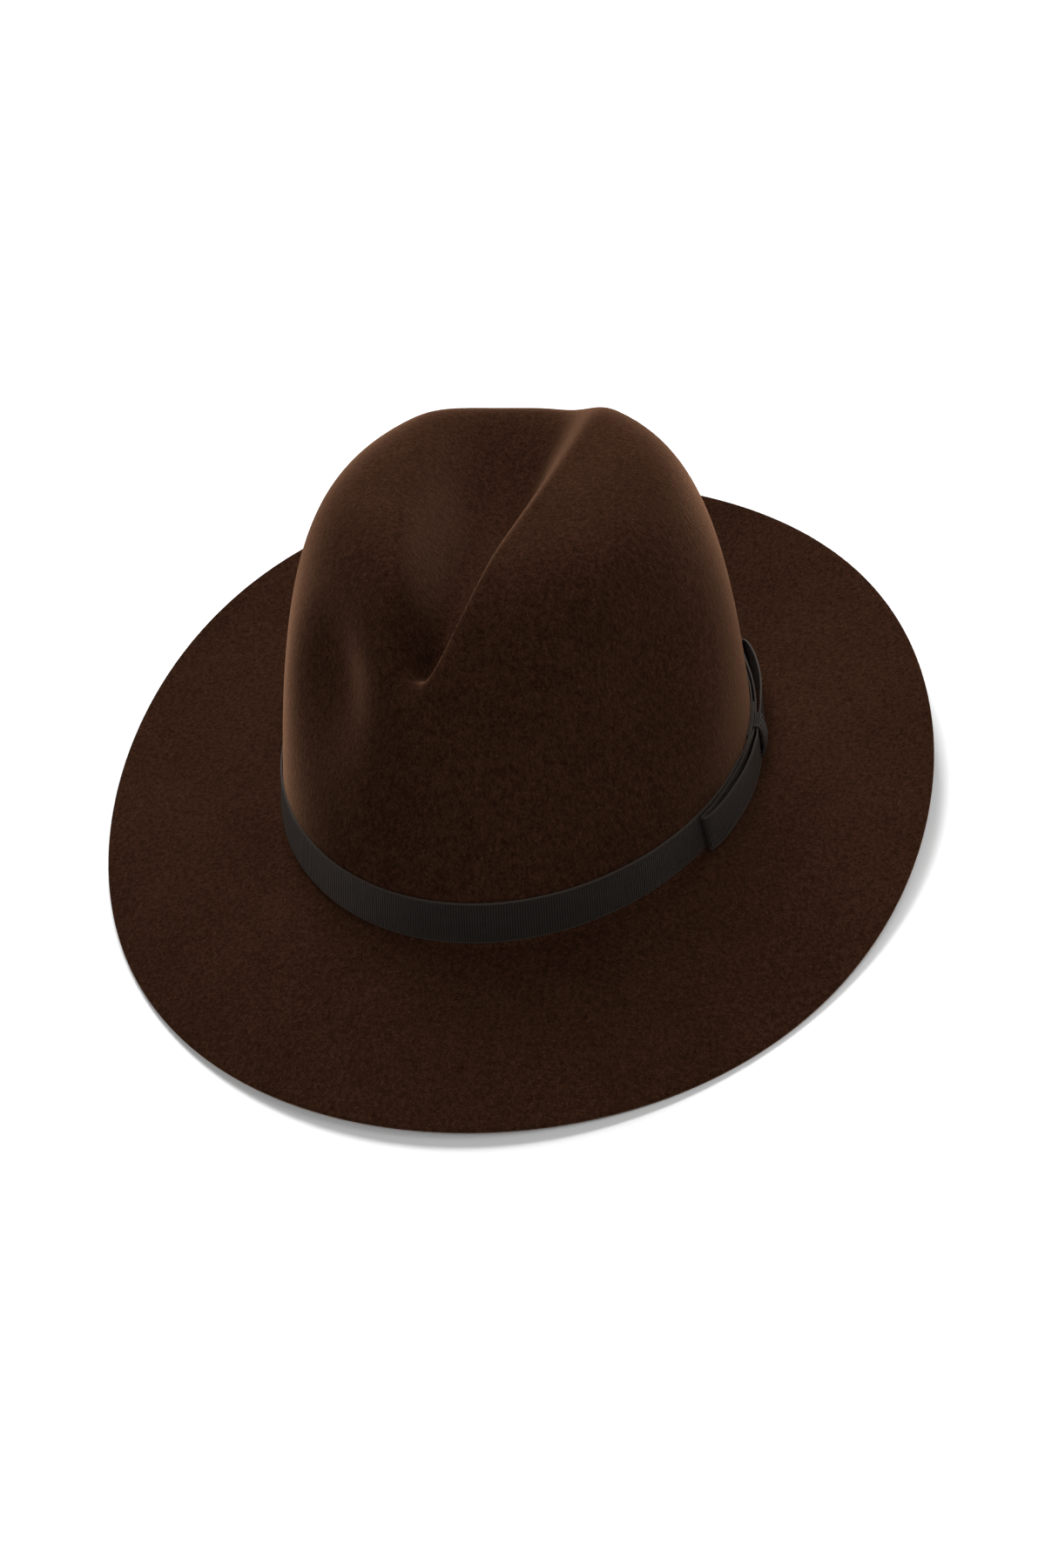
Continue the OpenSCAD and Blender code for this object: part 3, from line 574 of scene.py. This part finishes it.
def threads(name, turns, heights, depths, length, material, tilt=0.0, arch=0.12, rings=7, sides=6):
    """Tubes along short arched lines: each is a row of rings whose radius closes at both ends."""
    turns, heights, depths = np.broadcast_arrays(np.asarray(turns, float), heights, depths)
    here = on_wall(turns, heights, depths)
    along = on_wall(turns + 0.01, heights, depths) - here
    along /= np.linalg.norm(along, axis=-1, keepdims=True)
    out = on_wall(turns, heights, depths - 1) - here
    rise = np.cross(out, along)
    along, rise = along * np.cos(tilt) + rise * np.sin(tilt), rise * np.cos(tilt) - along * np.sin(tilt)
    s = np.linspace(-1, 1, rings)
    radius = THREAD * np.sqrt(np.clip(1.02 - s**4, 0, 1))
    lines = (here[:, None] + along[:, None] * (s * length / 2)[None, :, None]
             + out[:, None] * (arch * (1 - s**2))[None, :, None])
    a = np.arange(sides) * 2 * np.pi / sides
    spokes = (out[:, None, None] * np.cos(a)[None, None, :, None]
              + rise[:, None, None] * np.sin(a)[None, None, :, None])
    points = lines[:, :, None] + spokes * radius[None, :, None, None]
    count = len(turns)
    quads, cells = grid_faces(0, rings, sides, True, False)
    size = rings * sides
    faces = (quads[None] + (np.arange(count) * size)[:, None, None]).reshape(-1, 4).tolist()
    caps = np.arange(sides)
    faces += (caps[None] + (np.arange(count) * size)[:, None]).tolist()
    faces += ((size - 1 - caps)[None] + (np.arange(count) * size)[:, None]).tolist()
    uv = np.stack([cells[..., 1] / sides, cells[..., 0] / rings], -1).reshape(-1, 2)
    uvs = np.concatenate([np.tile(uv, (count, 1)), np.zeros((2 * count * sides, 2))])
    piece = make_piece(name, stand(points).reshape(-1, 3), faces, uvs, material)
    return piece


def thread_finish(name, tone):
    """Waxed sewing thread: two plies that twist round each other, seen as slanting stripes."""
    m, shader = new_finish(name, 0.55, Specular_IOR_Level=0.4)
    space = add_node(m, "ShaderNodeTexCoord").outputs["Object"]
    twist = add_node(m, "ShaderNodeTexWave", {"Vector": space, "Scale": 900.0, "Distortion": 1.5},
                     bands_direction="DIAGONAL").outputs["Fac"]
    join(m, ramp(m, twist, 0.2, 0.8, tuple(0.6 * x for x in tone) + (1,), tone + (1,)), shader,
         "Base Color")
    join(m, bump(m, twist, 0.00006, 0.8), shader, "Normal")
    return m


dark_thread = thread_finish("dark_waxed_thread", (0.003, 0.0024, 0.002))
tacks = threads("ribbon_tacks", TACK_TURNS, RIBBON_FOOT + 3.4, -RIBBON_GAP - RIBBON - 0.15, TACK,
                dark_thread, tilt=TACK_TILT)
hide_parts("band_tacks")
fold_out = -BAND_COVER - 2 * RIBBON - 0.4 - BOW_LIFT
stitch_heights = [RIBBON_FOOT + BOW_STITCH_INSET, RIBBON_FOOT + RIBBON_WIDTH - BOW_STITCH_INSET]
bow_tacks = threads("bow_end_stitches", [KNOT_TURN - BOW_STITCH_BACK / HALF_LENGTH] * 2, stitch_heights,
                    fold_out - 0.15, BOW_STITCH, dark_thread)
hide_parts("bow_stitches")


# --- Sweatband -----------------------------------------------------------------------------------
# A strip of thin tanned leather lines the foot of the crown. Its lower edge is stiffened by a reed
# under a woven tape, a row of stitches holds it to the felt, and its ends meet at the back.

SWEATBAND_FOOT, SWEATBAND_WIDTH, SWEATBAND_GAP = 2.4, 46.0, 0.8
LEATHER_DEPTH = FELT + LINING_ROOM
LEATHER_BACK = LEATHER_DEPTH + LEATHER


def leather_finish():
    """Smooth tanned leather: pebbled grain of small cells, pores, darker handled patches, soft gloss."""
    m, shader = new_finish("sweatband_leather", 0.42, Specular_IOR_Level=0.45, Coat_Weight=0.08,
                           Coat_Roughness=0.35)
    space = add_node(m, "ShaderNodeTexCoord").outputs["Object"]
    patches = ramp(m, noise(m, space, 30, 4, 0.55), 0.3, 0.75, (0.085, 0.036, 0.016, 1),
                   (0.15, 0.068, 0.031, 1))
    cells = add_node(m, "ShaderNodeTexVoronoi", {"Vector": space, "Scale": 1100.0},
                     feature="DISTANCE_TO_EDGE").outputs["Distance"]
    creases = ramp(m, cells, 0.0, 0.12, (0.55, 0.55, 0.55, 1), (1, 1, 1, 1))
    join(m, blend(m, 1.0, patches, creases, "MULTIPLY"), shader, "Base Color")
    fine = bump(m, noise(m, space, 2600, 2), 0.00005, 0.4)
    join(m, bump(m, cells, 0.0001, 0.5, fine), shader, "Normal")
    return m


leather_material = leather_finish()
gap_turn = SWEATBAND_GAP / 2 / HALF_LENGTH
leather_turns = np.linspace(np.pi + gap_turn, 3 * np.pi - gap_turn, 361)
leather_rows = np.concatenate([[0, 0.3, 0.8], np.linspace(2, 44, 22), [45.2, 45.7, 46]])
edge_thin = 0.35 * (np.exp(-leather_rows / 0.5) + np.exp(-(SWEATBAND_WIDTH - leather_rows) / 0.5))
leather_heights = (SWEATBAND_FOOT + leather_rows)[:, None]
leather = thick_sheet("sweatband_strip",
                      on_wall(leather_turns[None], leather_heights, LEATHER_DEPTH + edge_thin[:, None]),
                      on_wall(leather_turns[None], leather_heights, LEATHER_BACK - edge_thin[:, None]),
                      leather_material, wrap=False, sharp=70)
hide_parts("sweatband")


def weave_finish(name, dark, light, pitch, gloss, sheen):
    """Plain weave: warp and weft waves crossed, so that each thread shows in turn."""
    m, shader = new_finish(name, gloss, Sheen_Weight=sheen, Sheen_Roughness=0.3)
    cloth = add_node(m, "ShaderNodeUVMap", uv_map="cloth").outputs["UV"]
    parts = add_node(m, "ShaderNodeSeparateXYZ", {"Vector": cloth})
    waves = []
    for axis in ("X", "Y"):
        turns = add_node(m, "ShaderNodeMath", {0: parts.outputs[axis], 1: 2 * math.pi / pitch},
                         operation="MULTIPLY").outputs[0]
        waves.append(add_node(m, "ShaderNodeMath", {0: turns}, operation="SINE").outputs[0])
    crossed = add_node(m, "ShaderNodeMath", {0: waves[0], 1: waves[1]}, operation="MULTIPLY").outputs[0]
    level = add_node(m, "ShaderNodeMapRange", {"Value": crossed, "From Min": -1.0,
                                               "From Max": 1.0}).outputs["Result"]
    slub = noise(m, stretched(m, cloth, (30, 500, 1)), 1.0, 3)
    colour = ramp(m, level, 0.1, 0.9, dark + (1,), light + (1,))
    uneven = ramp(m, slub, 0.3, 0.7, (0.85, 0.85, 0.85, 1), (1.1, 1.1, 1.1, 1))
    join(m, blend(m, 1.0, colour, uneven, "MULTIPLY"), shader, "Base Color")
    join(m, bump(m, level, pitch / 8, 0.7), shader, "Normal")
    return m


TAPE, TAPE_WIDTH, TAPE_RISE, TAPE_GAP = 0.2, 9.0, 0.4, 0.12
tape_material = weave_finish("cotton_tape", (0.03, 0.018, 0.011), (0.06, 0.038, 0.025), 0.0006, 0.85, 0.2)
tape_heights = (SWEATBAND_FOOT + TAPE_RISE + np.linspace(0, TAPE_WIDTH, 6))[:, None]
tape_turns = turns_round(240)[None]
tape_depth = LEATHER_DEPTH - TAPE_GAP
reed_tape = thick_sheet("reed_tape_strip", on_wall(tape_turns, tape_heights, tape_depth - TAPE),
                        on_wall(tape_turns, tape_heights, tape_depth), tape_material)
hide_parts("reed_tape")


def cord_ring(name, centres, radius, material, sides=14):
    """A round cord: a circle of points round each centre of a closed line, in the plane that holds the
    vertical and the outward direction."""
    count = len(centres)
    out = centres - centres.mean(0)
    out[:, 2] = 0
    out /= np.linalg.norm(out, axis=1, keepdims=True)
    a = np.arange(sides) * 2 * np.pi / sides
    spokes = (out[None] * np.cos(a)[:, None, None] + np.array([0, 0, 1.0]) * np.sin(a)[:, None, None])
    points = stand(centres[None] + radius * spokes)
    length = run_length(np.concatenate([stand(centres), stand(centres)[:1]]))
    c, r = np.meshgrid(np.arange(count), np.arange(sides), indexing="xy")
    d, b = (c + 1) % count, (r + 1) % sides
    faces = np.stack([r * count + c, r * count + d, b * count + d, b * count + c], -1).reshape(-1, 4)
    uv = np.stack([np.stack([length[c], r * radius / 1000 * a[1]], -1),
                   np.stack([length[c + 1], r * radius / 1000 * a[1]], -1),
                   np.stack([length[c + 1], (r + 1) * radius / 1000 * a[1]], -1),
                   np.stack([length[c], (r + 1) * radius / 1000 * a[1]], -1)], -2)
    return make_piece(name, points.reshape(-1, 3), faces[:, ::-1].tolist(),
                      uv.reshape(-1, 4, 2)[:, ::-1].reshape(-1, 2), material)


def reed_finish():
    """Reed varnished brown to match the leather, with long dark grain lines round the hat."""
    m, shader = new_finish("split_reed", 0.5)
    cloth = add_node(m, "ShaderNodeUVMap", uv_map="cloth").outputs["UV"]
    grain = noise(m, stretched(m, cloth, (25, 4000, 1)), 1.0, 3)
    join(m, ramp(m, grain, 0.3, 0.7, (0.075, 0.038, 0.018, 1), (0.15, 0.085, 0.045, 1)), shader,
         "Base Color")
    join(m, bump(m, grain, 0.00008, 0.5), shader, "Normal")
    return m


REED, REED_DROP = 0.8, 1.1
reed_line = on_wall(turns_round(300), SWEATBAND_FOOT - REED_DROP, LEATHER_DEPTH + LEATHER / 2)
reed = cord_ring("sweatband_reed_ring", reed_line, REED, reed_finish())
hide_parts("sweatband_reed")

brown_thread = thread_finish("brown_sewing_thread", (0.05, 0.028, 0.016))
STITCH_COUNT, STITCH_RISE, STITCH = 72, 3.6, 2.6
seam_stitches = threads("sweatband_seam_stitches", turns_round(STITCH_COUNT) + math.pi / STITCH_COUNT,
                        SWEATBAND_FOOT + STITCH_RISE, LEATHER_BACK + 0.2, STITCH, brown_thread,
                        arch=-0.1)
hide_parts("sweatband_stitches")

LINING_GAP, LINING, SLIP_GAP = 0.25, 0.4, 0.08
SLIP_DEPTH = FELT + LINING_GAP + LINING + SLIP_GAP
SEAM_TAPE_LENGTH, SEAM_TAPE_RISE = 35.0, 10.0
seam_turns = np.radians(np.linspace(174, 186, 13))[None]
seam_heights = (SWEATBAND_FOOT + SEAM_TAPE_RISE + np.linspace(0, SEAM_TAPE_LENGTH, 20))[:, None]
seam_tape = thick_sheet("seam_tape_strip", on_wall(seam_turns, seam_heights, SLIP_DEPTH),
                        on_wall(seam_turns, seam_heights, SLIP_DEPTH + TAPE), tape_material, wrap=False)
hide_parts("sweatband_seam_tape")

BACK_BOW_WIDTH, BACK_BOW_FOOT, BACK_LOOP, BACK_KNOT = 8.0, 8.5, 15.0, 5.0
BACK_BOW_BASE = LEATHER_BACK + RIBBON_GAP
back_bow_material = grosgrain_finish("narrow_grosgrain", RIBBON_TONE, BACK_BOW_WIDTH)
for way, side_name in ((-1, "left"), (1, "right")):
    loop = bow_loop(f"back_bow_loop_{side_name}", np.pi, way, BACK_LOOP, BACK_KNOT / 2, BACK_BOW_WIDTH,
                    BACK_BOW_FOOT, BACK_BOW_BASE, 0.3, 0.8, back_bow_material, outwards=-1)
    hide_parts("sweatband_bow_loops")
back_knot = knot_wrap("back_bow_knot", np.pi, BACK_KNOT, BACK_BOW_WIDTH, BACK_BOW_FOOT, BACK_BOW_BASE,
                      0.6, back_bow_material, outwards=-1)
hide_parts("sweatband_bow_knot")


# --- Lining --------------------------------------------------------------------------------------
# Bronze satin, cut as a side strip and an oval tip that meet in a seam covered by a piping cord. The
# side is tucked behind the leather, and the whole hangs loose under the crease.

LINING_FOOT, LINING_EASE, LINING_HANG = 25.0, 18.0, 3.2
LINING_HANG_RISE, LINING_HANG_RUN = 12.0, 30.0
LINING_COLUMNS = 300
SEAM_ROW, SEAM_SLIT = 0.8545, 0.001
PIPING = 0.8


def satin_finish():
    """Satin: very fine floats that run round the hat, with a soft shine and faint shade between them."""
    m, shader = new_finish("bronze_satin", 0.34, Sheen_Weight=0.4, Sheen_Roughness=0.25,
                           Specular_IOR_Level=0.55, Anisotropic=0.4)
    cloth = add_node(m, "ShaderNodeUVMap", uv_map="cloth").outputs["UV"]
    floats = noise(m, stretched(m, cloth, (900, 7000, 1)), 1.0, 2)
    shade = ramp(m, floats, 0.3, 0.7, (0.11, 0.056, 0.027, 1), (0.17, 0.09, 0.045, 1))
    space = add_node(m, "ShaderNodeTexCoord").outputs["Object"]
    drift = ramp(m, noise(m, space, 18, 3), 0.3, 0.7, (0.85, 0.85, 0.85, 1), (1.1, 1.1, 1.1, 1))
    join(m, blend(m, 1.0, shade, drift, "MULTIPLY"), shader, "Base Color")
    join(m, bump(m, floats, 0.00004, 0.5), shader, "Normal")
    return m


def lining_at(turn, row, extra):
    """Under the felt by the lining's clearance, with more hang and a wider crease above the leather,
    and small gathers, a sum of two cosines round the hat, that grow towards the seam."""
    rise = row * CROWN_HEIGHT - SWEATBAND_FOOT - SWEATBAND_WIDTH - LINING_HANG_RISE
    high = soft_step(rise / LINING_HANG_RUN)
    gathers = 0.35 * soft_step((row - 0.5) / 0.3) * (np.cos(40 * turn) + 0.5 * np.cos(67 * turn + 1))
    depth = FELT + LINING_GAP + extra + LINING_HANG * high + gathers * high
    return under_felt(turn, row, depth, LINING_EASE * high)


satin = satin_finish()
lining_turns = turns_round(LINING_COLUMNS)


def lining_sheet(name, rows, capped):
    turn, row = np.meshgrid(lining_turns, rows)
    return thick_sheet(name, lining_at(turn, row, 0 * row), lining_at(turn, row, LINING + 0 * row), satin,
                       capped=capped, sharp=80)


lining_side = lining_sheet("lining_side_cloth",
                            np.linspace(LINING_FOOT / CROWN_HEIGHT, SEAM_ROW - SEAM_SLIT, 60), False)
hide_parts("lining_side")
lining_tip = lining_sheet("lining_tip_cloth", np.linspace(SEAM_ROW + SEAM_SLIT, 0.99, 50), True)
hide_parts("lining_tip")
piping_material = weave_finish("piping_satin", (0.18, 0.10, 0.045), (0.30, 0.17, 0.08), 0.0005, 0.4, 0.3)
piping_line = lining_at(lining_turns, 0 * lining_turns + SEAM_ROW, 0 * lining_turns + LINING + PIPING)
piping = cord_ring("lining_piping_cord", piping_line, PIPING, piping_material)
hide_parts("lining_piping")


# --- Size ticket ---------------------------------------------------------------------------------
# A small blank card of uncoated stock is slipped between the lining and the leather, a little way
# round from the back, and shows above the leather's edge.

def card_finish():
    """Uncoated card: fine fibres and a faint yellowing towards broad patches."""
    m, shader = new_finish("ticket_card", 0.8)
    space = add_node(m, "ShaderNodeTexCoord").outputs["Object"]
    fibres = noise(m, space, 1800, 3)
    tone = ramp(m, noise(m, space, 60, 3), 0.3, 0.7, (0.62, 0.54, 0.40, 1), (0.74, 0.67, 0.54, 1))
    speck = ramp(m, fibres, 0.3, 0.6, (0.88, 0.88, 0.88, 1), (1, 1, 1, 1))
    join(m, blend(m, 1.0, tone, speck, "MULTIPLY"), shader, "Base Color")
    join(m, bump(m, fibres, 0.00004, 0.5), shader, "Normal")
    return m


TICKET, TICKET_HEIGHT, TICKET_SHOWS = 0.2, 22.0, 6.0
ticket_turns = np.radians(np.linspace(144, 156, 25))[None]
ticket_foot = SWEATBAND_FOOT + SWEATBAND_WIDTH + TICKET_SHOWS - TICKET_HEIGHT
ticket_heights = (ticket_foot + np.linspace(0, TICKET_HEIGHT, 24))[:, None]
ticket = thick_sheet("blank_size_ticket", on_wall(ticket_turns, ticket_heights, SLIP_DEPTH),
                     on_wall(ticket_turns, ticket_heights, SLIP_DEPTH + TICKET), card_finish(),
                     wrap=False)
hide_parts("size_ticket")


# --- Stage, light and camera ---------------------------------------------------------------------
# The hat stands on a wide sheet of white paper. A large soft light from behind on its right is the
# strongest, with weaker ones behind, in front and on the other side, and the camera looks down on it.

floor_mesh = bpy.data.meshes.new("floor")
floor_mesh.from_pydata([(-4, -4, 0), (4, -4, 0), (4, 4, 0), (-4, 4, 0)], [], [(0, 1, 2, 3)])
floor = bpy.data.objects.new("floor", floor_mesh)
bpy.context.scene.collection.objects.link(floor)
paper_material, paper_shader = new_finish("pale_floor", 0.9, Base_Color=(0.9, 0.9, 0.9, 1))
floor_mesh.materials.append(paper_material)


def aim(location, target):
    """Rotation that turns a light's or camera's -Z axis from location to target."""
    return (Vector(target) - Vector(location)).to_track_quat("-Z", "Y").to_euler()


def softbox(name, location, target, size, watts):
    light = bpy.data.lights.new(name, "AREA")
    light.shape, light.size, light.size_y, light.energy = "RECTANGLE", size[0], size[1], watts
    lamp = bpy.data.objects.new(name, light)
    lamp.location, lamp.rotation_euler = location, aim(location, target)
    bpy.context.scene.collection.objects.link(lamp)


softbox("key_softbox", (-0.5, 1.0, 1.4), (0, 0, 0.05), (0.8, 0.8), 37)
softbox("back_softbox", (0.7, 1.3, 0.7), (0, 0, 0.1), (0.9, 0.5), 12)
softbox("front_softbox", (0.2, -1.4, 1.4), (0, 0, 0.05), (1.2, 0.7), 13)
softbox("right_softbox", (1.2, -0.4, 1.4), (0, 0, 0.05), (0.7, 0.7), 6)
world = bpy.data.worlds.new("studio")
world.use_nodes = True
world.node_tree.nodes["Background"].inputs["Color"].default_value = (1, 1, 1, 1)
world.node_tree.nodes["Background"].inputs["Strength"].default_value = 0.14
bpy.context.scene.world = world
bpy.context.scene.view_settings.view_transform = "Standard"

CAMERA_TURN, CAMERA_RISE, CAMERA_ROLL = math.radians(18.0), math.radians(36.5), math.radians(-6.1)
CAMERA_DISTANCE = 1500.0
VIEW_SCALE = 3.07
VIEW_SHIFT = (-0.98, 6.84)
across = np.array([math.cos(CAMERA_TURN), math.sin(CAMERA_TURN), 0])
back = np.array([math.sin(CAMERA_TURN) * math.cos(CAMERA_RISE),
                 -math.cos(CAMERA_TURN) * math.cos(CAMERA_RISE), math.sin(CAMERA_RISE)])
up = np.cross(back, across)
roll_c, roll_s = math.cos(CAMERA_ROLL), math.sin(CAMERA_ROLL)
right, upward = across * roll_c + up * roll_s, up * roll_c - across * roll_s
eye = back * CAMERA_DISTANCE - right * VIEW_SHIFT[0] - upward * VIEW_SHIFT[1]
origin = stand(np.zeros(3))
axes = [(stand(v) - origin) * 1000 for v in (right, upward, back)]
camera_data = bpy.data.cameras.new("camera")
camera_data.sensor_width = 36
camera_data.sensor_fit = "AUTO"
camera_data.lens = 36 * VIEW_SCALE * CAMERA_DISTANCE / 1800
camera = bpy.data.objects.new("camera", camera_data)
matrix = Matrix.Identity(4)
for i, axis in enumerate(axes):
    for j in range(3):
        matrix[j][i] = axis[j]
for j, value in enumerate(stand(eye)):
    matrix[j][3] = value
camera.matrix_world = matrix
bpy.context.scene.collection.objects.link(camera)
bpy.context.scene.camera = camera
